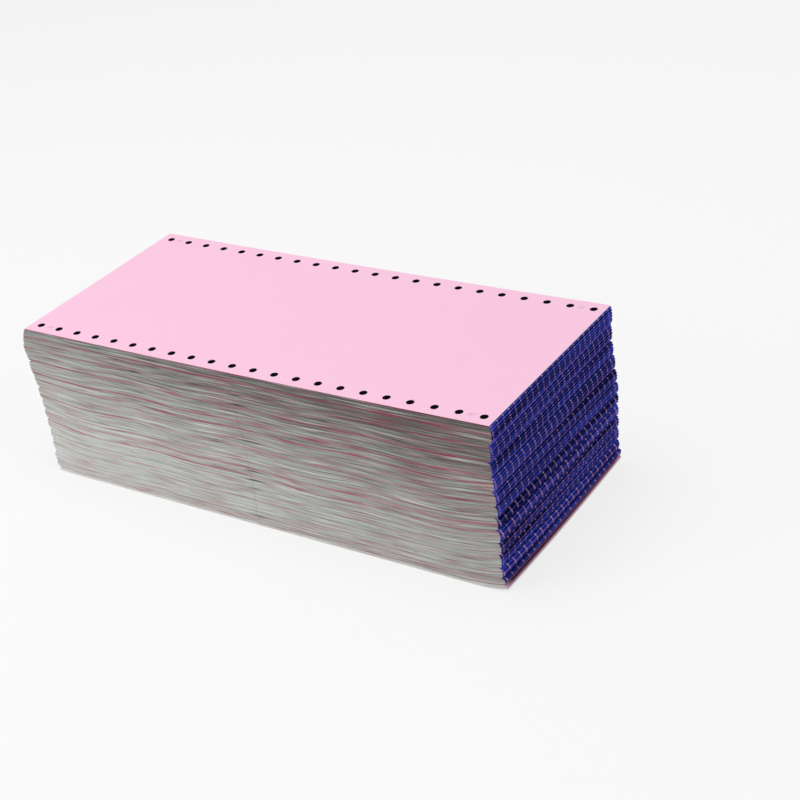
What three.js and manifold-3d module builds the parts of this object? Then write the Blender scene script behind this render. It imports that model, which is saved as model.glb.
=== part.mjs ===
// A stack of continuous computer paper. One web of two-ply forms is folded to and fro, so every
// second form joins the next at a perforated fold, first at one end of the stack and then at the
// other. Both long margins are punched with feed holes, which line up through the whole stack.
//
// Frame: +X runs from fold to fold, +Y across the forms, +Z up. The origin is the centre of the
// underside. Lengths are in millimetres.

import * as THREE from "three";
import { mergeVertices } from "three/addons/utils/BufferGeometryUtils.js";
import Module from "manifold-3d";

// The form
const formLength = 279.4; // fold to fold, eleven inches
const formWidth = 120.65; // over both punched margins
const formThickness = 0.1776; // both plies as they lie in the stack, with the air between them
const holePitch = 12.7;
const holeDiameter = 4;
const holeToEdge = 6.35; // from the long edge to the centre of a hole

// The packets that the folding machine lays down, from the bottom one up. forms is how many forms
// a packet has. left and right are how far its lowest folds stand out past the form's length at
// either end, and slip is how much further in its highest folds lie on the left. side is how far
// the packet lies towards +Y, and turn is how far its +Y edge is ahead of its -Y edge towards +X.
const packets = [
  { forms: 7, left: 1.6, slip: 0, right: 0.9, side: -0.3, turn: 0 },
  { forms: 19, left: 1.5, slip: 0, right: -0.3, side: 0.1, turn: 1.4 },
  { forms: 30, left: 1.1, slip: 0, right: -1.1, side: -0.1, turn: 1.5 },
  { forms: 40, left: 0.6, slip: 0, right: -1.2, side: 0.2, turn: 1.5 },
  { forms: 37, left: 0.2, slip: 0, right: -0.6, side: 0, turn: 1.3 },
  { forms: 39, left: 0, slip: 0, right: -0.3, side: -0.2, turn: 1.3 },
  { forms: 37, left: 0, slip: 0, right: -0.5, side: 0.1, turn: 2.2 },
  { forms: 37, left: 0.1, slip: 0, right: -0.2, side: 0.2, turn: 2 },
  { forms: 45, left: 0.2, slip: -0.4, right: -0.3, side: -0.1, turn: 1.8 },
  { forms: 47, left: 0.6, slip: -1, right: -0.8, side: 0.1, turn: 1.6 },
  { forms: 48, left: 1.7, slip: -0.6, right: -1.2, side: -0.2, turn: 1.5 },
  { forms: 58, left: 2.4, slip: -1.5, right: -1.2, side: 0, turn: 0.8 },
  { forms: 56, left: 3.9, slip: 3.6, right: -0.2, side: 0.1, turn: 0 },
];

// The relief of the four sides
const formsPerRidge = 9; // folds that lie so close that they read as one ridge
const foldRelief = 0.45; // depth of the valley between two ridges at a folded end
const foldGap = 1.3; // depth of the valley between two packets there
const edgeRelief = 0.12; // depth of a valley on a long side, where the plies are cut
const edgeGap = 0.3; // depth between two packets there
const noseBulge = 0.5; // how far the middle of a packet stands out past its top and bottom

// The way the forms lie. The folds are thicker than the cut edges, so they lift the ends of the
// forms, which stay flat in between but for a slight wave.
const endLift = { left: 3.2, right: 2.6 }; // of the forms that it lifts the most
const endLiftFade = { left: 3, right: 2 }; // how fast it fades from them to the top
const endLiftReach = 35; // how far in from a folded end that lift goes
const baseLift = { left: 0.8, right: 2.2 }; // of the lowest form
const baseLiftReach = 17;
const waveHeight = 0.6; // of the forms halfway up, crest above mean
const wavesPerForm = 4;
const topSag = 0.8; // how far the top form dips between its ends
const farRise = 0.3; // how far the top form rises above the mean at its +Y edge
const twist = 0.5; // how far it does so at two opposite corners

const holeSides = 10;
const cutterSpare = 2; // how far a cutter passes the surface it cuts

const formCount = packets.reduce((sum, packet) => sum + packet.forms, 0);
const stackHeight = formCount * formThickness;

// 1 at the end of a form, falling smoothly to 0 at the given reach in from it
function liftShare(distance, reach) {
  const share = THREE.MathUtils.clamp(1 - distance / reach, 0, 1);
  return share * share;
}

// 0 for the lowest and the highest form and 1 for the one between them that the folds lift the most
function liftAtLevel(up, fade) {
  const highest = 1 / (1 + fade);
  return (up * (1 - up) ** fade) / (highest * (1 - highest) ** fade);
}

// The real height of a point that would be at the given level if the forms were flat
function heightAt(x, y, level) {
  const up = level / stackHeight;
  const along = (2 * x) / formLength;
  const across = (2 * y) / formWidth;
  const fromEnd = Math.max(0, formLength / 2 - Math.abs(x));
  const end = x < 0 ? "left" : "right";
  const lift =
    endLift[end] * liftShare(fromEnd, endLiftReach) * liftAtLevel(up, endLiftFade[end]) +
    baseLift[end] * liftShare(fromEnd, baseLiftReach) * (1 - up) ** 4;
  const wave = waveHeight * Math.sin(Math.PI * up) * Math.cos(Math.PI * wavesPerForm * along);
  const slope = up * (farRise * across - twist * along * across);
  const sag = topSag * (0.5 - along ** 2) * up ** 2;
  return level + lift + wave + slope - sag;
}

// One closed outline round the stack for each valley and each ridge, from the bottom up
function outlines() {
  const made = [];
  const add = (level, packet, share, foldDepth, edgeDepth) => {
    const nose = noseBulge * Math.sin(Math.PI * share);
    made.push({
      level,
      turn: packet.turn,
      left: -formLength / 2 - packet.left + packet.slip * share - nose + foldDepth,
      right: formLength / 2 + packet.right + nose - foldDepth,
      near: -formWidth / 2 + packet.side + edgeDepth,
      far: formWidth / 2 + packet.side - edgeDepth,
    });
  };
  let level = 0;
  for (const packet of packets) {
    const height = packet.forms * formThickness;
    const ridges = Math.max(1, Math.round(packet.forms / formsPerRidge));
    for (let i = 0; i < ridges; i++) {
      const valley = i / ridges;
      const ridge = (i + 0.5) / ridges;
      if (made.length === 0) add(0, packet, valley, 0, 0);
      else if (i === 0) add(level, packet, valley, foldGap, edgeGap);
      else add(level + height * valley, packet, valley, foldRelief, edgeRelief);
      add(level + height * ridge, packet, ridge, 0, 0);
    }
    level += height;
  }
  // The top form lies over the folds of the highest packet, with one valley under it
  const top = packets.at(-1);
  const valleyUnderTop = stackHeight - (formsPerRidge * formThickness) / 4;
  add(valleyUnderTop, top, 1, foldRelief, edgeRelief);
  add(stackHeight, top, 1, 0, 0);
  return made;
}

// The closed skin through all the outlines, with a cap above and below
function stackSkin() {
  const steps = 4 * wavesPerForm;
  const shares = Array.from({ length: steps + 1 }, (_, i) => i / steps);
  const rings = outlines();
  const perSide = shares.length;
  const perRing = 2 * perSide;
  const points = [];
  for (const ring of rings) {
    const place = (share, y) => {
      const turned = (ring.turn * Math.sign(y)) / 2;
      const x = THREE.MathUtils.lerp(ring.left, ring.right, share) + turned;
      const flatX = (share - 0.5) * formLength;
      points.push(x, y, heightAt(flatX, y, ring.level));
    };
    shares.forEach((share) => place(share, ring.near));
    shares.toReversed().forEach((share) => place(share, ring.far));
  }
  const faces = [];
  for (let r = 0; r + 1 < rings.length; r++) {
    for (let i = 0; i < perRing; i++) {
      const a = r * perRing + i;
      const b = r * perRing + ((i + 1) % perRing);
      faces.push(a, b, b + perRing, a, b + perRing, a + perRing);
    }
  }
  const top = (rings.length - 1) * perRing;
  for (let i = 0; i + 1 < perSide; i++) {
    const near = i;
    const far = perRing - 1 - i;
    faces.push(near, far, far - 1, near, far - 1, near + 1);
    faces.push(top + near, top + near + 1, top + far - 1);
    faces.push(top + near, top + far - 1, top + far);
  }
  const geometry = new THREE.BufferGeometry();
  geometry.setAttribute("position", new THREE.Float32BufferAttribute(points, 3));
  geometry.setIndex(faces);
  return geometry;
}

// The centres of the feed holes, in one row along each long edge
function holeCentres() {
  const perRow = Math.floor(formLength / holePitch + 1e-6);
  const first = -(perRow - 1) * holePitch / 2;
  const rowY = formWidth / 2 - holeToEdge;
  const centres = [];
  for (let i = 0; i < perRow; i++) {
    for (const y of [-rowY, rowY]) {
      centres.push(new THREE.Vector2(first + i * holePitch, y));
    }
  }
  return centres;
}

const wasm = await Module();
wasm.setup();

function toSolid(geometry) {
  const bare = geometry.clone();
  bare.deleteAttribute("normal");
  bare.deleteAttribute("uv");
  const merged = mergeVertices(bare, 1e-4);
  return new wasm.Manifold(
    new wasm.Mesh({
      numProp: 3,
      vertProperties: new Float32Array(merged.attributes.position.array),
      triVerts: new Uint32Array(merged.index.array),
    }),
  );
}

function toGeometry(solid) {
  const mesh = solid.getMesh();
  const geometry = new THREE.BufferGeometry();
  geometry.setAttribute("position", new THREE.Float32BufferAttribute(mesh.vertProperties, 3));
  geometry.setIndex(Array.from(mesh.triVerts));
  geometry.computeVertexNormals();
  return geometry;
}

function punchedStack() {
  let stack = toSolid(stackSkin());
  const cutterLength = stackHeight + farRise + twist + 2 * cutterSpare;
  for (const centre of holeCentres()) {
    const cutter = new THREE.CylinderGeometry(
      holeDiameter / 2, holeDiameter / 2, cutterLength, holeSides,
    );
    cutter.rotateX(Math.PI / 2);
    cutter.translate(centre.x, centre.y, cutterLength / 2 - cutterSpare);
    stack = stack.subtract(toSolid(cutter));
  }
  return toGeometry(stack);
}

const paper = new THREE.MeshStandardMaterial({ color: 0xf5c3dc, roughness: 0.85, metalness: 0 });

const fanFoldStack = new THREE.Mesh(punchedStack(), paper);
fanFoldStack.name = "fan_fold_stack";

// The packets don't end in line, so the stack is moved to have its middle over the origin
fanFoldStack.geometry.computeBoundingBox();
const middle = fanFoldStack.geometry.boundingBox.getCenter(new THREE.Vector3());
fanFoldStack.position.set(-middle.x, -middle.y, 0);

const paperStack = new THREE.Group();
paperStack.add(fanFoldStack);

export default paperStack;
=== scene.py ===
# The looks of a stack of continuous computer paper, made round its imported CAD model.
# One web of two-ply forms is folded to and fro. The folds show at the two ends of the stack, the
# cut edges of the plies on its long sides, and the top form lies open above them.

import math
from collections import namedtuple

import bpy
import numpy as np
from mathutils import Matrix, Vector


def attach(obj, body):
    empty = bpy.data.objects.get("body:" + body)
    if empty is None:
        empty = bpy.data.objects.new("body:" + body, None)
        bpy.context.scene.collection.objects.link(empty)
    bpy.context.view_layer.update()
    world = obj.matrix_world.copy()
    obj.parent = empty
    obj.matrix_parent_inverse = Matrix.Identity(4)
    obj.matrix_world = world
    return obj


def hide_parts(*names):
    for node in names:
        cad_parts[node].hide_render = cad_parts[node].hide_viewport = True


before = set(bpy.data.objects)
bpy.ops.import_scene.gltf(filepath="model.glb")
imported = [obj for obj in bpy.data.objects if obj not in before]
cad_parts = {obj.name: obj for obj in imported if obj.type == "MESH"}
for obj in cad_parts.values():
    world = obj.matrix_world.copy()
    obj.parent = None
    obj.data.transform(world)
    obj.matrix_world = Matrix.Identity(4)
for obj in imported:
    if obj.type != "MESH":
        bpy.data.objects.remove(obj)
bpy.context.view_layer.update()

MM = 0.001

# The form
FORM_LENGTH = 279.4 * MM
FORM_WIDTH = 120.65 * MM
FORM_THICKNESS = 0.1776 * MM
HOLE_PITCH = 12.7 * MM
HOLE_DIAMETER = 4 * MM
HOLE_TO_EDGE = 6.35 * MM
MARGIN = 12.7 * MM  # the strip with the holes, which tears off

# The packets that the folding machine lays down, from the bottom one up, in millimetres.
# left, right: how far the lowest folds stand out past the form at either end
# slip: how much further in the highest folds lie on the left
# side, turn: how far the packet lies towards +Y, and its +Y edge ahead of its -Y edge
# gap: depth of the gap below the packet at the folded ends
# foot, lean, bend: where the printed dashes end at the packet's foot, how far they lean over
#   from foot to head, and how much of that lean is near the foot
# dash: how strongly the dashes show, and dots: how far they are broken up into dots
Packet = namedtuple("Packet", "forms left slip right side turn gap foot lean bend dash dots")
PACKETS = [
    Packet(7, 1.6, 0.0, 0.9, -0.3, 0.0, 0.0, 0.0, 0.0, 1.0, 0.0, 0.0),
    Packet(19, 1.5, 0.0, -0.3, 0.1, 1.4, 1.3, 2.9, 1.4, 1.2, 0.8, 0.4),
    Packet(30, 1.1, 0.0, -1.1, -0.1, 1.5, 0.6, 2.6, 2.6, 1.0, 0.95, 0.0),
    Packet(40, 0.6, 0.0, -1.2, 0.2, 1.5, 0.8, 2.2, 0.6, 1.0, 0.85, 1.0),
    Packet(37, 0.2, 0.0, -0.6, 0.0, 1.3, 1.3, 2.6, 0.6, 1.0, 0.85, 1.0),
    Packet(39, 0.0, 0.0, -0.3, -0.2, 1.3, 1.4, 4.0, 2.6, 1.0, 1.0, 0.1),
    Packet(37, 0.0, 0.0, -0.5, 0.1, 2.2, 1.3, 3.5, 2.9, 1.0, 1.0, 0.0),
    Packet(37, 0.1, 0.0, -0.2, 0.2, 2.0, 1.4, 2.4, 0.5, 1.0, 0.85, 1.0),
    Packet(45, 0.2, -0.4, -0.3, -0.1, 1.8, 1.1, 2.4, 1.2, 1.3, 0.9, 0.8),
    Packet(47, 0.6, -1.0, -0.8, 0.1, 1.6, 1.5, 1.9, 1.7, 2.4, 1.0, 0.6),
    Packet(48, 1.7, -0.6, -1.2, -0.2, 1.5, 0.5, 0.4, 0.4, 1.0, 0.85, 0.8),
    Packet(58, 2.4, -1.5, -1.2, 0.0, 0.8, 1.5, 2.0, 1.6, 1.6, 0.9, 0.85),
    Packet(56, 3.9, 3.6, -0.2, 0.1, 0.0, 0.5, 2.0, 0.9, 1.2, 0.8, 0.85),
]

# The relief of the folded ends
FORMS_PER_RIDGE = 9
FOLD_RELIEF = 0.45 * MM  # usual depth of the valley between two ridges
FOLD_DEPTH = 0.14 * MM  # depth of the crease between two folds
FOLD_SLIP = 0.1 * MM  # how far folds lie in or out together
SINGLE_FOLD_SLIP = 0.04 * MM  # how far a single fold does so on its own
NOSE_BULGE = 0.5 * MM  # how far the middle of a packet stands out past its top and bottom
VALLEY_DEPTHS = (0.55, 1.5)  # the least and the most of its usual depth that a valley has
VALLEY_REACH = 2.6  # forms on either side of a valley's lowest point
VALLEY_SHADE = 1.4  # how dark a valley of the usual depth is
VALLEY_SHADE_REACH = 3.6
GAP_REACH = 4  # forms on either side of the gap between two packets
GAP_SLOPE = 0.3  # how deep the wider slope into a gap is, as a share of the gap
GAP_SLOPE_REACH = 9
GAP_SHADE = 1.2  # how dark a gap of one millimetre is
GAP_SHADE_REACH = 5

# The relief of the long sides
EDGE_RELIEF = 0.12 * MM  # depth of a valley
EDGE_GAP = 0.15 * MM  # depth of a gap between two packets
EDGE_SLIP = 0.045 * MM  # how far single edges lie in or out

# How far the boundaries next to the top form lie in, from its upper face down, in millimetres; the
# same numbers give their painted shade
UNDER_TOP = (0.0, 0.15, 0.6, 0.5, 0.25)
UNDER_TOP_EDGE = 0.25  # the share of that on the long sides

# The boundaries of the loose lowest forms: how far in each lies, in millimetres, and how dark the
# painted shade between them is
LOOSE_FORMS = (
    (0.0, 0.0), (0.0, 0.0), (0.0, 0.0), (0.4, 0.5), (0.5, 0.0), (0.6, 0.0), (0.75, 0.9),
)

BARE_FORMS = 13  # the lowest forms, whose folds aren't printed
PRINT_GAP = 0.3 * MM  # depth of the gap between the bare folds and the printed ones
PRINT_GAP_SHADE = 0.85

# The printed dashes on the folds
DASH_PITCH = 5.25 * MM
DASH_WIDTH = 0.42 * MM
DASH_FADE_FOOT = 3  # forms over which they fade out at a packet's foot
DASH_FADE_HEAD = 5  # and at its head
DASH_LEFT_HEAD = 0.2  # what is left of them there

# The way the forms lie
LIE = {
    "Form length": FORM_LENGTH,
    "Form width": FORM_WIDTH,
    "Form thickness": FORM_THICKNESS,
    "Fold depth": FOLD_DEPTH,
    "Left end lift": 3.2 * MM,
    "Right end lift": 2.6 * MM,
    "Left lift fade": 3,
    "Right lift fade": 2,
    "End lift reach": 35 * MM,
    "Left base lift": 0.8 * MM,
    "Right base lift": 2.2 * MM,
    "Base lift reach": 17 * MM,
    "Base lift midway": 0.5,
    "Wave height": 0.6 * MM,
    "Waves per form": 4,
    "Top sag": 0.8 * MM,
    "Far rise": 0.3 * MM,
    "Twist": 0.5 * MM,
}

# Small gaps that gape between the cut edges: place along the side, level, depth, in millimetres
NEAR_GAPES = [
    (-1, 76.2, 0.9), (0, 70.6, 0.9), (3, 50.1, 0.9), (2, 32.3, 1.0), (1, 27.2, 0.9),
    (-1, 22.0, 0.6), (0, 5.2, 0.8), (-64, 77.0, 0.8), (-65, 64.9, 0.5), (-60, 81.2, 0.5),
    (-52, 82.6, 0.5), (52, 72.5, 0.7), (-75, 82.1, 0.5), (-20, 46.2, 0.4), (-62, 56.7, 0.4),
    (88, 60.4, 0.4), (70, 44.3, 0.4), (110, 66.2, 0.5), (34, 58.8, 0.4), (-24, 78.1, 0.5),
]
FAR_GAPES = [(4 - 0.9 * place, 90 - level, depth) for place, level, depth in NEAR_GAPES]
GAPE_REACH = 7.15 * MM
GAPE_HALF_HEIGHT = 3 * FORM_THICKNESS
GAPE_SHADE = 1.8  # how dark a gape of one millimetre is

# Levels at which the edges of the pink plies show as rose lines: level, half height, strength
ROSE_LINES = [
    (88.6, 0.25, 0.9), (83.8, 0.45, 0.7), (80.6, 0.3, 0.3), (77.3, 0.4, 0.6), (73.0, 0.3, 0.3),
    (69.3, 0.55, 0.75), (66.0, 0.3, 0.25), (61.3, 0.45, 0.85), (56.6, 0.4, 0.8),
    (53.2, 0.3, 0.25), (50.2, 0.35, 0.5), (46.3, 0.4, 0.65), (42.6, 0.3, 0.25),
    (37.6, 0.4, 0.55), (33.9, 0.8, 0.65), (29.8, 0.4, 0.8), (27.0, 0.3, 0.3), (23.7, 0.3, 0.3),
    (19.2, 0.35, 0.5), (14.9, 0.35, 0.45), (12.2, 0.3, 0.35), (8.4, 0.35, 0.5),
    (5.4, 0.4, 0.6), (3.3, 0.3, 0.6), (1.78, 0.22, 1.0), (0.8, 0.12, 1.0),
]

# Levels at which a fold stands out of the printed ends and catches the light
BRIGHT_FOLDS = [
    (79.5, 0.35, 1.0), (84.1, 0.3, 0.4), (75.0, 0.3, 0.35), (69.5, 0.4, 0.8), (65.2, 0.3, 0.3),
    (61.0, 0.3, 0.35), (55.6, 0.3, 0.35), (52.5, 0.45, 0.9), (48.2, 0.3, 0.35), (46.0, 0.3, 0.5),
    (41.7, 0.3, 0.3), (38.7, 0.3, 0.4), (34.0, 0.3, 0.25), (27.0, 0.4, 1.0), (21.0, 0.3, 0.7),
    (14.8, 0.3, 0.6), (18.3, 0.25, 0.35), (12.2, 0.3, 0.3), (6.6, 0.5, 0.9), (2.9, 0.3, 0.4),
]
LINE_SPREAD = 1.3  # how far a line fades out, in half heights

# The crimped tongues that hold the two plies together
LOCKS = {
    "Tongue length": 2.4 * MM,
    "Tongue width": 0.35 * MM,
    "Tongue thickness": 0.1 * MM,
    "Spacing": 1.5 * MM,
    "Lean": math.radians(-28),
}

# The mesh. The grid's corners round a hole, as steps in x and y, each join two sides of it.
HOLE_CELLS = [(1, 0), (1, 1), (0, 1), (-1, 1), (-1, 0), (-1, -1), (0, -1), (1, -1)]
HOLE_SIDES = 2 * len(HOLE_CELLS)
HOLE_WALL_LEVELS = (0, 0.3, 0.7, 0.93, 0.98, 1)  # as shares of the stack's height
MIDDLE_STEPS = 18  # of the grid between the two margins, across the form
SHARP_ANGLE = math.radians(30)

# What a face shows
TOP, UNDERSIDE, CUT_EDGE, FOLDED_END, HOLE_WALL = range(5)

form_count = sum(packet.forms for packet in PACKETS)
stack_height = form_count * FORM_THICKNESS
holes_per_row = round(FORM_LENGTH / HOLE_PITCH)

# The CAD part has its middle over the origin, which puts the middle of its forms here
FORM_CENTRE = Vector((1.452 * MM, 0.05 * MM, 0))

rng = np.random.default_rng(11)


def wander(step, reach):
    """Smooth chance values about 0, one for each boundary, that change every step boundaries"""
    count = form_count + 1
    knots = rng.uniform(-reach, reach, count // step + 3)
    return np.interp(np.arange(count) / step, np.arange(len(knots)), knots)


def nearness(distance, reach):
    """1 where there is no distance, falling evenly to 0 at the reach"""
    return np.maximum(0.0, 1 - distance / reach)


def lay_packet(table, first, packet, above):
    """Fills in the boundaries of one packet, which begin with the one numbered first"""
    ridges = max(1, round(packet.forms / FORMS_PER_RIDGE))
    depths = rng.uniform(*VALLEY_DEPTHS, ridges + 1)
    per_ridge = packet.forms / ridges
    from_foot = np.arange(packet.forms if above else packet.forms + 1)
    from_head = packet.forms - from_foot
    share = from_foot / packet.forms
    place = from_foot / per_ridge
    nearest = np.rint(place).astype(int)
    from_valley = abs(place - nearest) * per_ridge
    valley = nearness(from_valley, VALLEY_REACH) * depths[nearest]
    shade = VALLEY_SHADE * nearness(from_valley, VALLEY_SHADE_REACH) * depths[nearest]
    gap = 0.0
    for distance, width in ((from_foot, packet.gap), (from_head, above.gap if above else 0.0)):
        slope = GAP_SLOPE * nearness(distance, GAP_SLOPE_REACH)
        opened = width * (nearness(distance, GAP_REACH) + slope) / (1 + GAP_SLOPE)
        gap = np.maximum(gap, opened)
        shade = np.maximum(shade, GAP_SHADE * width * nearness(distance, GAP_SHADE_REACH))
    nose = NOSE_BULGE * np.sin(np.pi * share)
    depth = FOLD_RELIEF * valley + gap * MM
    whole = np.minimum(from_foot / DASH_FADE_FOOT, from_head / DASH_FADE_HEAD + DASH_LEFT_HEAD)
    broken = 1 - packet.dots * (0.5 + 0.5 * np.cos(2 * np.pi * place))
    rows = {
        "left": (packet.left - packet.slip * share) * MM + nose - depth,
        "right": packet.right * MM + nose - depth,
        "edge": -EDGE_RELIEF * valley - EDGE_GAP * np.minimum(1.0, gap),
        "side": packet.side * MM,
        "turn": packet.turn * MM,
        "shift": (packet.foot - packet.lean * share ** packet.bend) * MM,
        "dash": packet.dash * np.minimum(1.0, whole) * broken,
        # painted shade: how dark the valleys and the gaps between packets are drawn
        "gap": np.minimum(1.0, shade),
    }
    for name, values in rows.items():
        table[name][first:first + len(from_foot)] = values


def ring_table():
    """How far each boundary between two forms stands out on the four sides, and what shows there"""
    # The gap column holds painted shade: how dark each boundary is drawn
    names = ("left", "right", "side", "turn", "edge", "shift", "dash", "gap", "bare")
    table = {name: np.zeros(form_count + 1) for name in names}
    first = 0
    for packet, above in zip(PACKETS, PACKETS[1:] + [None]):
        lay_packet(table, first, packet, above)
        first += packet.forms
    # The top form lies over the folds under it
    under = np.array(UNDER_TOP)
    rings = form_count - np.arange(len(under))
    for side, share in (("left", 1.0), ("right", 1.0), ("edge", UNDER_TOP_EDGE)):
        table[side][rings] -= share * under * MM
    # The boundaries under the top form are drawn darker by the same numbers: painted shade
    table["gap"][rings] = under
    for ring, (inset, shade) in enumerate(LOOSE_FORMS):
        table["left"][ring] = (PACKETS[0].left - inset) * MM
        table["right"][ring] = (PACKETS[0].right - inset) * MM
        table["gap"][ring] = shade
    table["bare"][:BARE_FORMS] = 1
    print_edge = [BARE_FORMS - 1, BARE_FORMS]
    table["left"][print_edge] -= PRINT_GAP
    table["right"][print_edge] -= PRINT_GAP
    table["gap"][print_edge] = PRINT_GAP_SHADE
    astray = wander(3, FOLD_SLIP) + wander(1, SINGLE_FOLD_SLIP)
    astray[[0, -1]] = 0
    table["left"] += astray
    table["right"] += astray[::-1]
    table["edge"] += wander(1, EDGE_SLIP)
    table["edge"][[0, -1]] = 0
    return table


def lines_at(lines, level):
    """How strong the strongest of the given lines is at a level in millimetres"""
    return max(strength * math.exp(-((level - middle) / (LINE_SPREAD * half)) ** 2)
               for middle, half, strength in lines)


def gapes_at(gapes, level):
    """The small gaps that are open at a level: the place of each, and its depth there in mm"""
    here = [(place * MM, depth * nearness(abs(level - middle * MM), GAPE_HALF_HEIGHT))
            for place, middle, depth in gapes]
    return [(place, depth) for place, depth in here if depth > 0]


def outline_places():
    """The points of one outline, anticlockwise from the near left corner, and their grid"""
    along = np.linspace(-0.5, 0.5, 2 * holes_per_row + 1) * FORM_LENGTH
    middle = FORM_WIDTH / 2 - MARGIN
    across = np.concatenate([
        [-FORM_WIDTH / 2, -FORM_WIDTH / 2 + HOLE_TO_EDGE],
        np.linspace(-middle, middle, MIDDLE_STEPS + 1),
        [FORM_WIDTH / 2 - HOLE_TO_EDGE, FORM_WIDTH / 2],
    ])
    places = [(x, across[0]) for x in along[:-1]]
    places += [(along[-1], y) for y in across[:-1]]
    places += [(x, across[-1]) for x in along[:0:-1]]
    places += [(along[0], y) for y in across[:0:-1]]
    return np.array(places), along, across


class Block:
    """Gathers the corners and faces of the block, with what the materials read at each corner"""

    def __init__(self):
        self.corners, self.web, self.tint, self.dash, self.end = [], [], [], [], []
        self.faces, self.kinds = [], []

    def corner(self, place, web, tint=(0, 0, 0), dash=(0, 0, 0), end=0):
        self.corners.append(place)
        self.web.append(web)
        self.tint.append(tint)
        self.dash.append(dash)
        self.end.append(end)
        return len(self.corners) - 1

    def face(self, kind, *corners):
        self.faces.append(corners)
        self.kinds.append(kind)


def add_skin(block, table):
    """The four sides. Returns the corners of the lowest and the highest outline, and the grid."""
    places, along, across = outline_places()
    per_ring = len(places)
    ends, sides = (np.where(np.isclose(abs(values), reach), np.sign(values), 0)
                   for values, reach in zip(places.T, (FORM_LENGTH / 2, FORM_WIDTH / 2)))
    for ring in range(form_count + 1):
        level = ring * FORM_THICKNESS
        row = {name: values[ring] for name, values in table.items()}
        tint = (lines_at(ROSE_LINES, level / MM), lines_at(BRIGHT_FOLDS, level / MM), row["bare"])
        gapes = {-1: gapes_at(NEAR_GAPES, level), 0: [], 1: gapes_at(FAR_GAPES, level)}
        for (x, y), end, side in zip(places, ends, sides):
            share = x / FORM_LENGTH + 0.5
            out = share * row["right"] - (1 - share) * row["left"]
            turned = row["turn"] * y / FORM_WIDTH
            # dark is painted shade: that of the boundary at the folded ends, and that of the gapes
            # on the long sides
            edge, dark = row["edge"], 0.0 if side else row["gap"]
            for gape_x, depth in gapes[side]:
                opened = depth * nearness(abs(x - gape_x), GAPE_REACH)
                edge -= opened * MM
                dark = max(dark, min(1.0, GAPE_SHADE * opened))
            block.corner(
                (x + out + turned, y + row["side"] + side * edge, level),
                (x, y, level), tint, (row["shift"], row["dash"], dark), end)
    for ring in range(form_count):
        for i in range(per_ring):
            after = (i + 1) % per_ring
            on_end = ends[i] != 0 and ends[i] == ends[after]
            low, high = ring * per_ring, (ring + 1) * per_ring
            block.face(FOLDED_END if on_end else CUT_EDGE,
                       low + i, low + after, high + after, high + i)
    top = form_count * per_ring
    return list(range(per_ring)), list(range(top, top + per_ring)), along, across


def add_caps_and_holes(block, bottom, top, along, across):
    """The open faces of the top and the lowest form, and the walls of the holes between them"""
    columns, rows = len(along), len(across)
    hole_columns, hole_rows = range(1, columns, 2), (1, rows - 2)

    def grid(outline, level):
        """The corners of one cap by column and row, but for those at the middle of a hole"""
        corners = {}
        for i in range(columns):
            corners[i, 0] = outline[i]
            corners[i, rows - 1] = outline[2 * (columns - 1) + rows - 1 - i]
        for j in range(rows):
            corners[columns - 1, j] = outline[columns - 1 + j]
            corners[0, j] = outline[-j]
        for i in range(1, columns - 1):
            for j in range(1, rows - 1):
                if not (i in hole_columns and j in hole_rows):
                    place = (along[i], across[j], level)
                    corners[i, j] = block.corner(place, place)
        return corners

    lower = grid(bottom, 0.0)
    upper = grid(top, stack_height)
    for i in range(columns - 1):
        for j in range(2, rows - 3):
            for kind, at, flip in ((TOP, upper, 1), (UNDERSIDE, lower, -1)):
                quad = [at[i, j], at[i + 1, j], at[i + 1, j + 1], at[i, j + 1]]
                block.face(kind, *quad[::flip])
    for i in hole_columns:
        for j in hole_rows:
            rims = []
            for height in HOLE_WALL_LEVELS:
                rim = []
                for k in range(HOLE_SIDES):
                    angle = 2 * math.pi * k / HOLE_SIDES
                    place = (along[i] + HOLE_DIAMETER / 2 * math.cos(angle),
                             across[j] + HOLE_DIAMETER / 2 * math.sin(angle),
                             height * stack_height)
                    rim.append(block.corner(place, place))
                rims.append(rim)
            for low, high in zip(rims, rims[1:]):
                for k in range(HOLE_SIDES):
                    after = (k + 1) % HOLE_SIDES
                    block.face(HOLE_WALL, low[after], low[k], high[k], high[after])
            for kind, at, rim, flip in ((TOP, upper, rims[-1], 1), (UNDERSIDE, lower, rims[0], -1)):
                cell = [at[i + a, j + b] for a, b in HOLE_CELLS]
                for k, (here, after) in enumerate(zip(cell, cell[1:] + cell[:1])):
                    first, second, third = (rim[(2 * k + n) % HOLE_SIDES] for n in range(3))
                    block.face(kind, *[here, after, third, second][::flip])
                    block.face(kind, *[here, second, first][::flip])


def make_block():
    """The forms as if they lay flat, with the outline of each one"""
    block = Block()
    add_caps_and_holes(block, *add_skin(block, ring_table()))
    mesh = bpy.data.meshes.new("paper_web")
    mesh.from_pydata(block.corners, [], block.faces)
    for name, values in (("web", block.web), ("tint", block.tint), ("dash", block.dash)):
        layer = mesh.attributes.new(name, "FLOAT_VECTOR", "POINT")
        layer.data.foreach_set("vector", np.array(values, dtype=np.float32).ravel())
    mesh.attributes.new("end", "FLOAT", "POINT").data.foreach_set(
        "value", np.array(block.end, dtype=np.float32))
    mesh.attributes.new("kind", "INT", "FACE").data.foreach_set(
        "value", np.array(block.kinds, dtype=np.int32))
    mesh.polygons.foreach_set("use_smooth", [kind in (TOP, UNDERSIDE) for kind in block.kinds])
    mesh.update()
    return mesh


def put(tree, kind, inputs=None, **settings):
    """Adds a node. An input is given by name or number, as a value or as the socket it follows."""
    node = tree.nodes.new(kind)
    for name, value in settings.items():
        setattr(node, name, value)
    for name, value in (inputs or {}).items():
        if isinstance(value, bpy.types.NodeSocket):
            tree.links.new(value, node.inputs[name])
        else:
            node.inputs[name].default_value = value
    return node


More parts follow.
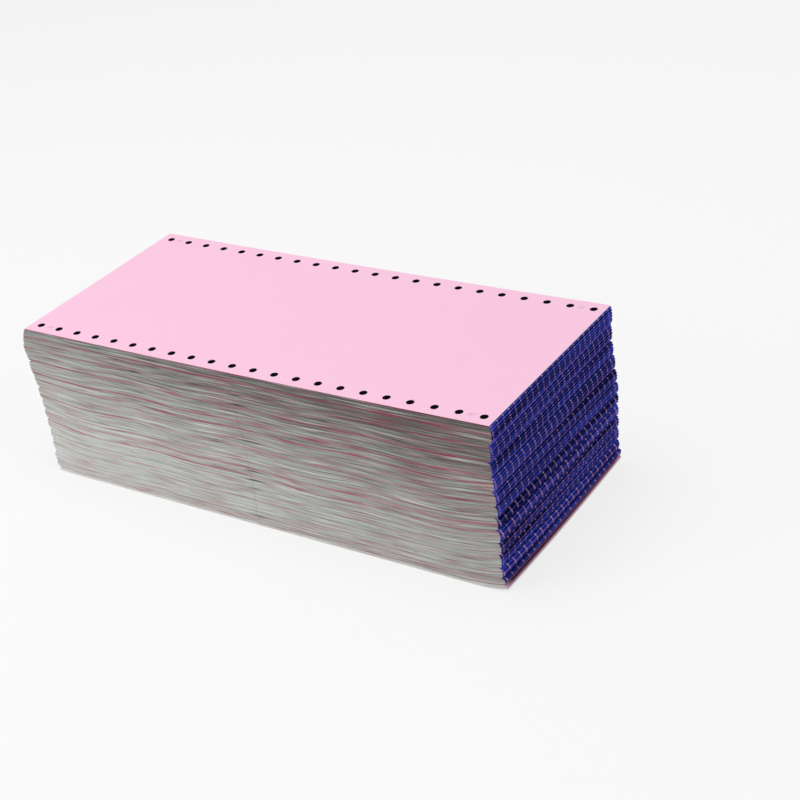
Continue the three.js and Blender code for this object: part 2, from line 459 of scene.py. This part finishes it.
def sums(tree):
    """A short way to write arithmetic in a node tree"""
    def calculate(operation, *values, clamp=False):
        node = put(tree, "ShaderNodeMath", dict(enumerate(values)),
                   operation=operation, use_clamp=clamp)
        return node.outputs[0]
    return calculate


def ramp(tree, value, *, zero_at, one_at):
    """0 where a value is at zero_at or before it, changing evenly to 1 at one_at"""
    m = sums(tree)
    return m("DIVIDE", m("SUBTRACT", value, zero_at), one_at - zero_at, clamp=True)


def blended(tree, factor, first, second):
    return put(tree, "ShaderNodeMix", {0: factor, 6: first, 7: second},
               data_type="RGBA").outputs[2]


def noise(tree, detail, *parts):
    """Noise at a place given by up to three numbers, each with how fine the noise is along it"""
    m = sums(tree)
    place = put(tree, "ShaderNodeCombineXYZ", {
        axis: m("MULTIPLY", value, fineness) for axis, (value, fineness) in enumerate(parts)})
    return put(tree, "ShaderNodeTexNoise", {
        "Vector": place.outputs[0], "Scale": 1.0, "Detail": detail}).outputs[0]


def attribute(tree, name, data_type):
    return put(tree, "GeometryNodeInputNamedAttribute", {"Name": name},
               data_type=data_type).outputs["Attribute"]


def new_group(name, kind, inputs, outputs):
    """A node group with named sockets. Returns the tree, its inputs by name and its output node."""
    tree = bpy.data.node_groups.new(name, kind)
    for words, in_out in ((inputs, "INPUT"), (outputs, "OUTPUT")):
        for socket_name, socket_type in words:
            tree.interface.new_socket(socket_name, in_out=in_out,
                                      socket_type="NodeSocket" + socket_type)
    given = tree.nodes.new("NodeGroupInput")
    return tree, given.outputs, tree.nodes.new("NodeGroupOutput")


def forms_tree(materials):
    """Lays the flat block down as the real forms lie: folded to and fro, lifted at the folds,
    slightly wavy, sagging between the ends, and dressed with a material for each kind of face."""
    tree, given, out = new_group(
        "lie_of_the_forms", "GeometryNodeTree",
        [("Geometry", "Geometry")] + [(name, "Float") for name in LIE],
        [("Geometry", "Geometry")])
    m = sums(tree)
    web = put(tree, "ShaderNodeSeparateXYZ", {0: attribute(tree, "web", "FLOAT_VECTOR")})
    x, y, level = web.outputs
    end = attribute(tree, "end", "FLOAT")
    number = m("DIVIDE", level, given["Form thickness"])
    up = m("DIVIDE", number, float(form_count))
    down = m("SUBTRACT", 1.0, up)
    along = m("DIVIDE", m("MULTIPLY", x, 2.0), given["Form length"])
    across = m("DIVIDE", m("MULTIPLY", y, 2.0), given["Form width"])
    from_end = m("MAXIMUM", 0.0, m("MULTIPLY", given["Form length"],
                                   m("SUBTRACT", 0.5, m("ABSOLUTE", m("MULTIPLY", along, 0.5)))))
    on_right = m("GREATER_THAN", x, 0.0)

    def at_end(what):
        left, right = given["Left " + what], given["Right " + what]
        return m("ADD", left, m("MULTIPLY", on_right, m("SUBTRACT", right, left)))

    def lift(what, reach, by_level):
        share = m("SUBTRACT", 1.0, m("DIVIDE", from_end, reach), clamp=True)
        return m("MULTIPLY", m("MULTIPLY", at_end(what), m("POWER", share, 2.0)), by_level)

    # The lift of the ends grows from the lowest form up and fades again to the top one
    fade = at_end("lift fade")
    most_lifted = m("DIVIDE", 1.0, m("ADD", 1.0, fade))

    def hump(share):
        return m("MULTIPLY", share, m("POWER", m("SUBTRACT", 1.0, share), fade))

    by_level = m("DIVIDE", hump(up), hump(most_lifted))
    ends_up = lift("end lift", given["End lift reach"], by_level)
    # The lowest forms curl up at their corners
    curl = m("MULTIPLY_ADD", m("POWER", across, 2.0),
             m("SUBTRACT", 1.0, given["Base lift midway"]), given["Base lift midway"])
    curl = m("MULTIPLY", curl, m("POWER", down, 4.0))
    base_up = lift("base lift", given["Base lift reach"], curl)
    swell = m("MULTIPLY", given["Wave height"], m("SINE", m("MULTIPLY", up, math.pi)))
    turn = m("MULTIPLY", m("MULTIPLY", along, math.pi), given["Waves per form"])
    wave = m("MULTIPLY", swell, m("COSINE", turn))
    tilt = m("SUBTRACT", m("MULTIPLY", given["Far rise"], across),
             m("MULTIPLY", given["Twist"], m("MULTIPLY", along, across)))
    sag = m("MULTIPLY", m("MULTIPLY", given["Top sag"], m("SUBTRACT", 0.5, m("POWER", along, 2.0))),
            m("POWER", up, 2.0))
    rise = m("ADD", m("ADD", ends_up, base_up), m("ADD", wave, m("MULTIPLY", up, tilt)))
    rise = m("SUBTRACT", rise, sag)
    # Every second boundary is a fold on the right, and the others are folds on the left
    to_and_fro = m("MULTIPLY", end, m("COSINE", m("MULTIPLY", number, math.pi)))
    crease = m("MULTIPLY", given["Fold depth"], m("MULTIPLY_ADD", to_and_fro, 0.5, 0.5))
    inward = m("MULTIPLY", m("MULTIPLY", end, -1.0), crease)
    offset = put(tree, "ShaderNodeCombineXYZ", {0: inward, 2: rise}).outputs[0]
    shape = put(tree, "GeometryNodeSetPosition", {"Geometry": given["Geometry"], "Offset": offset})
    shape = put(tree, "GeometryNodeRealizeInstances", {"Geometry": shape.outputs[0]}).outputs[0]
    kind = attribute(tree, "kind", "INT")
    for code, material in enumerate(materials):
        chosen = m("COMPARE", kind, float(code), 0.1)
        shape = put(tree, "GeometryNodeSetMaterial", {
            "Geometry": shape, "Selection": chosen, "Material": material}).outputs[0]
    tree.links.new(shape, out.inputs["Geometry"])
    return tree


def locks_tree(material):
    """Pairs of fine slanted tongues, crimped through the margin to hold the two plies together"""
    tree, given, out = new_group(
        "crimp_locks", "GeometryNodeTree",
        [("Geometry", "Geometry")] + [(name, "Float") for name in LOCKS],
        [("Geometry", "Geometry")])
    size = put(tree, "ShaderNodeCombineXYZ", {
        0: given["Tongue width"], 1: given["Tongue length"], 2: given["Tongue thickness"]})
    tongue = put(tree, "GeometryNodeMeshCube", {"Size": size.outputs[0]}).outputs["Mesh"]
    spacing = put(tree, "ShaderNodeCombineXYZ", {0: given["Spacing"]}).outputs[0]
    pair = put(tree, "GeometryNodeMeshLine", {"Count": 2, "Offset": spacing}).outputs[0]
    lean = put(tree, "ShaderNodeCombineXYZ", {2: given["Lean"]}).outputs[0]
    pair = put(tree, "GeometryNodeInstanceOnPoints", {
        "Points": pair, "Instance": tongue, "Rotation": lean}).outputs[0]
    shape = put(tree, "GeometryNodeInstanceOnPoints", {
        "Points": given["Geometry"], "Instance": pair}).outputs[0]
    shape = put(tree, "GeometryNodeRealizeInstances", {"Geometry": shape}).outputs[0]
    shape = put(tree, "GeometryNodeSetMaterial", {
        "Geometry": shape, "Material": material}).outputs[0]
    tree.links.new(shape, out.inputs["Geometry"])
    return tree


def shaped(name, mesh, tree, values):
    """A plain mesh piece, made from a mesh by a Geometry Nodes tree with the given sizes"""
    source = bpy.data.objects.new(name + "_source", mesh)
    bpy.context.scene.collection.objects.link(source)
    modifier = source.modifiers.new("shape", "NODES")
    modifier.node_group = tree
    sockets = {item.name: item.identifier for item in tree.interface.items_tree
               if item.in_out == "INPUT"}
    for socket_name, value in values.items():
        modifier[sockets[socket_name]] = float(value)
    evaluated = source.evaluated_get(bpy.context.evaluated_depsgraph_get())
    result = bpy.data.meshes.new_from_object(evaluated)
    bpy.data.objects.remove(source)
    result.transform(Matrix.Translation(FORM_CENTRE))
    result.set_sharp_from_angle(angle=SHARP_ANGLE)
    result.name = name
    piece = bpy.data.objects.new(name, result)
    bpy.context.scene.collection.objects.link(piece)
    return piece


def colour(red, green, blue):
    """A colour as it looks on a screen, from 0 to 255, as the linear colour that Blender wants"""
    def linear(value):
        value /= 255
        return value / 12.92 if value <= 0.04045 else ((value + 0.055) / 1.055) ** 2.4
    return (linear(red), linear(green), linear(blue), 1.0)


def fibre_group():
    """Fine matt paper: matted fibres, with a faint cloudiness of the pulp"""
    tree, given, out = new_group(
        "paper_fibre", "ShaderNodeTree",
        [("Place", "Vector"), ("Fibre size", "Float")],
        [("Tone", "Float"), ("Height", "Float")])
    m = sums(tree)
    finer = m("DIVIDE", 1.0, given["Fibre size"])
    fibres = put(tree, "ShaderNodeTexNoise", {
        "Vector": given["Place"], "Scale": finer, "Detail": 3.0, "Roughness": 0.65,
        "Distortion": 0.8}).outputs[0]
    clouds = put(tree, "ShaderNodeTexNoise", {
        "Vector": given["Place"], "Scale": m("MULTIPLY", finer, 0.035), "Detail": 2.0}).outputs[0]
    tone = m("ADD", m("MULTIPLY", fibres, 0.55), m("MULTIPLY", clouds, 0.45))
    tree.links.new(tone, out.inputs["Tone"])
    tree.links.new(fibres, out.inputs["Height"])
    return tree


def plies_group():
    """The plies of the forms seen edge on: a tone for each form, the dark joints between them,
    streaks where some of them catch the light, and shadows where some lie in"""
    outputs = ("Tone", "Joint", "Streak", "Shadow", "Height")
    tree, given, out = new_group(
        "ply_lines", "ShaderNodeTree",
        [(name, "Float") for name in ("Run", "Level", "Form thickness", "Waver")],
        [(name, "Float") for name in outputs])
    m = sums(tree)
    run = given["Run"]
    drift = noise(tree, 1.0, (run, 22.0), (given["Level"], 60.0))
    moved = m("MULTIPLY_ADD", m("SUBTRACT", drift, 0.5), given["Waver"], given["Level"])
    forms = m("DIVIDE", moved, given["Form thickness"])
    single = noise(tree, 1.0, (run, 26.0), (m("FLOOR", forms), 3.7))
    bundle = noise(tree, 2.0, (run, 41.6), (forms, 0.384))
    uneven = noise(tree, 3.0, (run, 20.8), (forms, 0.4))
    tone = m("ADD", m("MULTIPLY", single, 0.45), m("MULTIPLY", bundle, 0.55))
    joint = ramp(tree, m("PINGPONG", forms, 0.5), zero_at=0.2, one_at=0.0)
    streak = ramp(tree, uneven, zero_at=0.56, one_at=0.7267)
    shadow = ramp(tree, uneven, zero_at=0.43, one_at=0.2871)
    height = m("SUBTRACT", tone, m("MULTIPLY", joint, 0.5))
    for name, value in zip(outputs, (tone, joint, streak, shadow, height)):
        tree.links.new(value, out.inputs[name])
    return tree


def tear_group():
    """A row of fine cuts along a line, seven tenths of it cut and the rest left"""
    tree, given, out = new_group(
        "tear_line", "ShaderNodeTree",
        [(name, "Float") for name in ("Distance", "Run", "Cut pitch", "Width")],
        [("Cut", "Float")])
    m = sums(tree)
    near = m("SUBTRACT", 1.0, m("DIVIDE", m("ABSOLUTE", given["Distance"]), given["Width"]),
             clamp=True)
    cut = m("LESS_THAN", m("FRACT", m("DIVIDE", given["Run"], given["Cut pitch"])), 0.7)
    tree.links.new(m("MULTIPLY", near, cut), out.inputs["Cut"])
    return tree


def new_material(name, specular=0.12):
    material = bpy.data.materials.new(name)
    material.use_nodes = True
    tree = material.node_tree
    shader = tree.nodes["Principled BSDF"]
    shader.inputs["Specular IOR Level"].default_value = specular
    return material, tree, shader, sums(tree)


def read(tree, name):
    """The three numbers of an attribute of the piece"""
    source = put(tree, "ShaderNodeAttribute", attribute_name=name)
    return put(tree, "ShaderNodeSeparateXYZ", {0: source.outputs["Vector"]}).outputs


def used(tree, group, **inputs):
    """The outputs of a node group, whose inputs are given by name with _ for a space"""
    return put(tree, "ShaderNodeGroup", {
        name.replace("_", " "): value for name, value in inputs.items()}, node_tree=group).outputs


def dress(tree, shader, base, tone, *, roughness, spread, height, depth):
    """Joins up a finish: its colour, a roughness that varies with its tone, and its fine relief"""
    m = sums(tree)
    bump = put(tree, "ShaderNodeBump", {"Height": height, "Distance": depth, "Strength": 1.0})
    tree.links.new(base, shader.inputs["Base Color"])
    tree.links.new(m("MULTIPLY_ADD", tone, spread, roughness - spread / 2),
                   shader.inputs["Roughness"])
    tree.links.new(bump.outputs[0], shader.inputs["Normal"])


def ply_material(name, face, deeper, groups):
    """The open face of a form: fibre, the tear line across its middle and those of its margins"""
    material, tree, shader, m = new_material(name)
    x, y, _ = read(tree, "web")
    place = put(tree, "ShaderNodeAttribute", attribute_name="web").outputs["Vector"]
    fibre = used(tree, groups["fibre"], Place=place, Fibre_size=0.9 * MM)
    across = used(tree, groups["tear"], Distance=x, Run=y, Cut_pitch=1.6 * MM,
                  Width=0.16 * MM)["Cut"]
    from_margin = m("SUBTRACT", m("ABSOLUTE", y), FORM_WIDTH / 2 - MARGIN)
    strip = used(tree, groups["tear"], Distance=from_margin, Run=x, Cut_pitch=1.2 * MM,
                 Width=0.12 * MM)["Cut"]
    cut = m("MAXIMUM", m("MULTIPLY", across, 0.5), m("MULTIPLY", strip, 0.3))
    cloudy = m("MULTIPLY", fibre["Tone"], 0.35, clamp=True)
    paper = blended(tree, m("ADD", cloudy, cut, clamp=True), face, deeper)
    dress(tree, shader, paper, fibre["Tone"], roughness=0.82, spread=0.12,
          height=m("SUBTRACT", fibre["Height"], cut), depth=0.012 * MM)
    return material


def edge_material(groups):
    """The cut edges of the plies on the long sides"""
    material, tree, shader, m = new_material("cut_edges")
    x, y, level = read(tree, "web")
    rose, _, bare = read(tree, "tint")
    _, _, gap = read(tree, "dash")
    plies = used(tree, groups["plies"], Run=m("ADD", x, y), Level=level,
                 Form_thickness=2 * FORM_THICKNESS, Waver=0.35 * MM)
    up = m("DIVIDE", level, stack_height)
    # The edges are painted greyer towards the top and the +X end: painted shade for the light that
    # falls off there
    painted_shade_slope = m("MULTIPLY_ADD", m("POWER", up, 1.6), 0.75,
                m("MULTIPLY_ADD", x, 0.45 / FORM_LENGTH, -0.78))
    grey = m("MULTIPLY_ADD", plies["Tone"], 1.9, painted_shade_slope, clamp=True)
    # The dark grey is reached by the random tone of the forms and by the painted shade
    pale, grey_and_shade, lit = colour(224, 231, 225), colour(110, 108, 104), colour(240, 246, 240)
    paper = blended(tree, grey, pale, grey_and_shade)
    paper = blended(tree, m("MULTIPLY", plies["Streak"], 0.6), paper, lit)
    # Rose lines at the levels of the table, broken up, and faint ones anywhere
    patch = noise(tree, 2.0, (x, 55.0), (level, 900.0), (y, 20.0))
    blush = ramp(tree, patch, zero_at=0.36, one_at=0.7446)
    line = m("MULTIPLY", rose, m("MULTIPLY_ADD", blush, 1.05, 0.4))
    faint = ramp(tree, patch, zero_at=0.5, one_at=0.8571)
    line = m("MAXIMUM", line, m("MULTIPLY", faint, 0.75))
    paper = blended(tree, m("MULTIPLY", line, 0.95, clamp=True), paper, colour(178, 48, 92))
    # Dark joints, painted shadows that are stronger towards the top, and painted shade in the gapes
    dark = m("MAXIMUM", m("MULTIPLY", plies["Joint"], 0.4),
             m("MULTIPLY", plies["Shadow"], m("MULTIPLY_ADD", up, 0.45, 0.2)))
    paper = blended(tree, m("MAXIMUM", dark, gap, clamp=True), paper, colour(40, 22, 28))
    white = m("MULTIPLY", bare, ramp(tree, level, zero_at=1.6 * MM, one_at=0.0))
    paper = blended(tree, white, paper, colour(240, 244, 240))
    tear = used(tree, groups["tear"], Distance=m("ADD", x, 1.5 * MM), Run=level,
                Cut_pitch=1.0 * MM, Width=0.7 * MM)["Cut"]
    paper = blended(tree, m("MULTIPLY", tear, 0.3), paper, colour(92, 104, 120))
    dress(tree, shader, paper, plies["Tone"], roughness=0.835, spread=0.15,
          height=plies["Height"], depth=0.07 * MM)
    return material


def fold_material(groups):
    """The folded ends: printed blue-violet, with rose dashes in columns, and bare lowest forms"""
    material, tree, shader, m = new_material("folded_ends", specular=0.02)
    _, y, level = read(tree, "web")
    rose, bright, bare = read(tree, "tint")
    shift, dash, gap = read(tree, "dash")
    plies = used(tree, groups["plies"], Run=m("MULTIPLY", y, 0.25), Level=level,
                 Form_thickness=4 * FORM_THICKNESS, Waver=0.2 * MM)
    lightness = ramp(tree, plies["Tone"], zero_at=0.38, one_at=0.6181)
    blue = blended(tree, lightness, colour(8, 6, 52), colour(74, 92, 228))
    blue = blended(tree, m("MULTIPLY", bright, 0.85), blue, colour(150, 114, 222))
    blue = blended(tree, m("MULTIPLY", plies["Streak"], 0.45), blue, colour(110, 112, 224))
    # Painted shade: the valleys, the gaps between packets and the boundaries under the top form are
    # drawn dark, with the shadows and the dark joints
    dark = m("MAXIMUM", m("MULTIPLY", plies["Joint"], 0.4), gap)
    dark = m("MAXIMUM", dark, m("MULTIPLY", plies["Shadow"], 0.5), clamp=True)
    blue = blended(tree, dark, blue, colour(0, 0, 24))
    # The printed dashes stand in columns, which lean with the packet
    place = m("SUBTRACT", m("ADD", y, FORM_WIDTH / 2), shift)
    from_column = m("PINGPONG", place, DASH_PITCH / 2)
    column = ramp(tree, from_column, zero_at=1.5 * DASH_WIDTH, one_at=0.5 * DASH_WIDTH)
    grain = noise(tree, 1.0, (y, 140.0), (level, 1500.0))
    broken = ramp(tree, grain, zero_at=0.2825, one_at=0.5325)
    mask = m("MULTIPLY", m("MULTIPLY", column, dash), broken)
    # The dashes are dimmed where painted shade lies
    mask = m("MULTIPLY", mask, m("SUBTRACT", 1.0, m("MULTIPLY", gap, 0.8)))
    print_tone = blended(tree, grain, colour(198, 116, 174), colour(255, 212, 246))
    fold = blended(tree, m("MULTIPLY", mask, 0.9, clamp=True), blue, print_tone)
    # The bare lowest forms, with painted shade between them, the lowest of them white
    loose = blended(tree, m("MULTIPLY", rose, 1.1, clamp=True),
                    colour(226, 206, 226), colour(226, 84, 140))
    loose = blended(tree, gap, loose, colour(44, 10, 52))
    white = ramp(tree, level, zero_at=0.5 * MM, one_at=0.4 * MM)
    loose = blended(tree, white, loose, colour(246, 246, 246))
    fold = blended(tree, bare, fold, loose)
    # The top form's unprinted edge, drawn near white as a painted highlight along the rim
    top_edge_and_highlight = ramp(tree, level, zero_at=stack_height - 2.2 * FORM_THICKNESS,
                    one_at=stack_height - 1.8 * FORM_THICKNESS)
    fold = blended(tree, top_edge_and_highlight, fold, colour(255, 244, 250))
    dress(tree, shader, fold, plies["Tone"], roughness=0.7, spread=0.2,
          height=plies["Height"], depth=0.08 * MM)
    return material


def hole_material(groups):
    """The walls of the punched holes, painted dark as shade, with faint ply lines"""
    material, tree, shader, m = new_material("hole_walls")
    x, y, level = read(tree, "web")
    plies = used(tree, groups["plies"], Run=m("ADD", x, y), Level=level,
                 Form_thickness=FORM_THICKNESS, Waver=0.1 * MM)
    wall = blended(tree, plies["Tone"], colour(10, 8, 16), colour(40, 30, 48))
    dress(tree, shader, wall, plies["Tone"], roughness=0.9, spread=0.1,
          height=plies["Height"], depth=0.05 * MM)
    return material


def lock_material(groups):
    """The crimped tongues, whose bent paper shows greyer than the open form"""
    material, tree, shader, _ = new_material("crimped_paper")
    place = put(tree, "ShaderNodeTexCoord").outputs["Object"]
    fibre = used(tree, groups["fibre"], Place=place, Fibre_size=0.5 * MM)
    paper = blended(tree, fibre["Tone"], colour(222, 176, 204), colour(170, 130, 160))
    dress(tree, shader, paper, fibre["Tone"], roughness=0.82, spread=0.12,
          height=fibre["Height"], depth=0.02 * MM)
    return material


def seen_directly(tree):
    """1 for the rays that the camera sends out, also by a mirror or glass, and 0 for the others"""
    m = sums(tree)
    rays = put(tree, "ShaderNodeLightPath").outputs
    return m("MAXIMUM", rays["Is Camera Ray"],
             m("MAXIMUM", rays["Is Glossy Ray"], rays["Is Transmission Ray"]))


FLOOR_GLOW = 0.75  # how much of the floor's look is plain white, the rest being its shaded face
SKY_LIGHT = 0.4  # how strongly the background lights the stack, beside the 1 that the camera sees


def floor_material():
    """A pale floor that the camera sees as white, with the shadow kept"""
    material, tree, shader, m = new_material("studio_floor")
    shader.inputs["Base Color"].default_value = (0.85, 0.85, 0.85, 1)
    shader.inputs["Roughness"].default_value = 0.9
    light = put(tree, "ShaderNodeEmission", {"Color": (1, 1, 1, 1), "Strength": 1.0})
    mixed = put(tree, "ShaderNodeMixShader", {
        0: m("MULTIPLY", seen_directly(tree), FLOOR_GLOW),
        1: shader.outputs[0], 2: light.outputs[0]})
    tree.links.new(mixed.outputs[0], tree.nodes["Material Output"].inputs["Surface"])
    return material


groups = {"fibre": fibre_group(), "plies": plies_group(), "tear": tear_group()}
finishes = (
    ply_material("pink_ply", colour(254, 206, 230), colour(246, 190, 216), groups),
    ply_material("white_ply", colour(240, 242, 240), colour(214, 218, 216), groups),
    edge_material(groups),
    fold_material(groups),
    hole_material(groups),
)
paper_web = shaped("paper_web", make_block(), forms_tree(finishes), LIE)
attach(paper_web, "root")
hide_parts("fan_fold_stack")


def lock_places():
    """A point on the top form between the last two holes at either end of both rows"""
    places = []
    for x in (-1, 1):
        for y in (-1, 1):
            above = Vector((x * (FORM_LENGTH / 2 - HOLE_PITCH) - LOCKS["Spacing"] / 2,
                            y * (FORM_WIDTH / 2 - HOLE_TO_EDGE), 2 * stack_height))
            _, found, _, _ = paper_web.ray_cast(above + FORM_CENTRE, Vector((0, 0, -1)))
            places.append((above.x, above.y, found.z))
    mesh = bpy.data.meshes.new("lock_places")
    mesh.from_pydata(places, [], [])
    return mesh


crimp_locks = shaped("crimp_locks", lock_places(), locks_tree(lock_material(groups)), LOCKS)
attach(crimp_locks, "root")

# The studio
FLOOR_HALF = 6.0
floor_mesh = bpy.data.meshes.new("floor")
floor_mesh.from_pydata(
    [(x * FLOOR_HALF, y * FLOOR_HALF, 0) for x, y in ((-1, -1), (1, -1), (1, 1), (-1, 1))],
    [], [(0, 1, 2, 3)])
floor_mesh.materials.append(floor_material())
floor = bpy.data.objects.new("floor", floor_mesh)
bpy.context.scene.collection.objects.link(floor)

# Soft square lamps that face the middle of the stack: name, place, width, power
LAMPS = (
    ("high_lamp", (-0.2, -0.1, 1.6), 1.4, 13.8),
    ("front_lamp", (-0.7, -0.8, 0.5), 0.6, 3),
    ("end_lamp", (1.4, -0.2, 0.7), 0.9, 2.75),
)
LAMP_AIM = (0, 0, 0.04)
for lamp_name, lamp_place, lamp_width, lamp_power in LAMPS:
    lamp_data = bpy.data.lights.new(lamp_name, "AREA")
    lamp_data.size = lamp_width
    lamp_data.energy = lamp_power
    lamp = bpy.data.objects.new(lamp_name, lamp_data)
    bpy.context.scene.collection.objects.link(lamp)
    lamp.location = lamp_place
    back = Vector(lamp_place) - Vector(LAMP_AIM)
    lamp.rotation_euler = back.to_track_quat("Z", "Y").to_euler()

# A background that the camera sees as white and that lights the stack less
world = bpy.data.worlds.new("studio")
bpy.context.scene.world = world
world.use_nodes = True
background = world.node_tree.nodes["Background"]
background.inputs["Color"].default_value = (1, 1, 1, 1)
strength = sums(world.node_tree)(
    "MULTIPLY_ADD", seen_directly(world.node_tree), 1 - SKY_LIGHT, SKY_LIGHT)
world.node_tree.links.new(strength, background.inputs["Strength"])

# The camera of the photograph, from the corners of the stack
camera_data = bpy.data.cameras.new("camera")
camera_data.sensor_width = 36
camera_data.lens = 69.224
camera = bpy.data.objects.new("camera", camera_data)
bpy.context.scene.collection.objects.link(camera)
camera.matrix_world = Matrix((
    (0.84040882, -0.17672609, 0.51232891, 0.444661),
    (0.52852010, 0.47642658, -0.70262666, -0.538578),
    (-0.11991465, 0.86126976, 0.49379639, 0.429432),
    (0, 0, 0, 1),
))
bpy.context.scene.camera = camera
bpy.context.scene.view_settings.view_transform = "Standard"
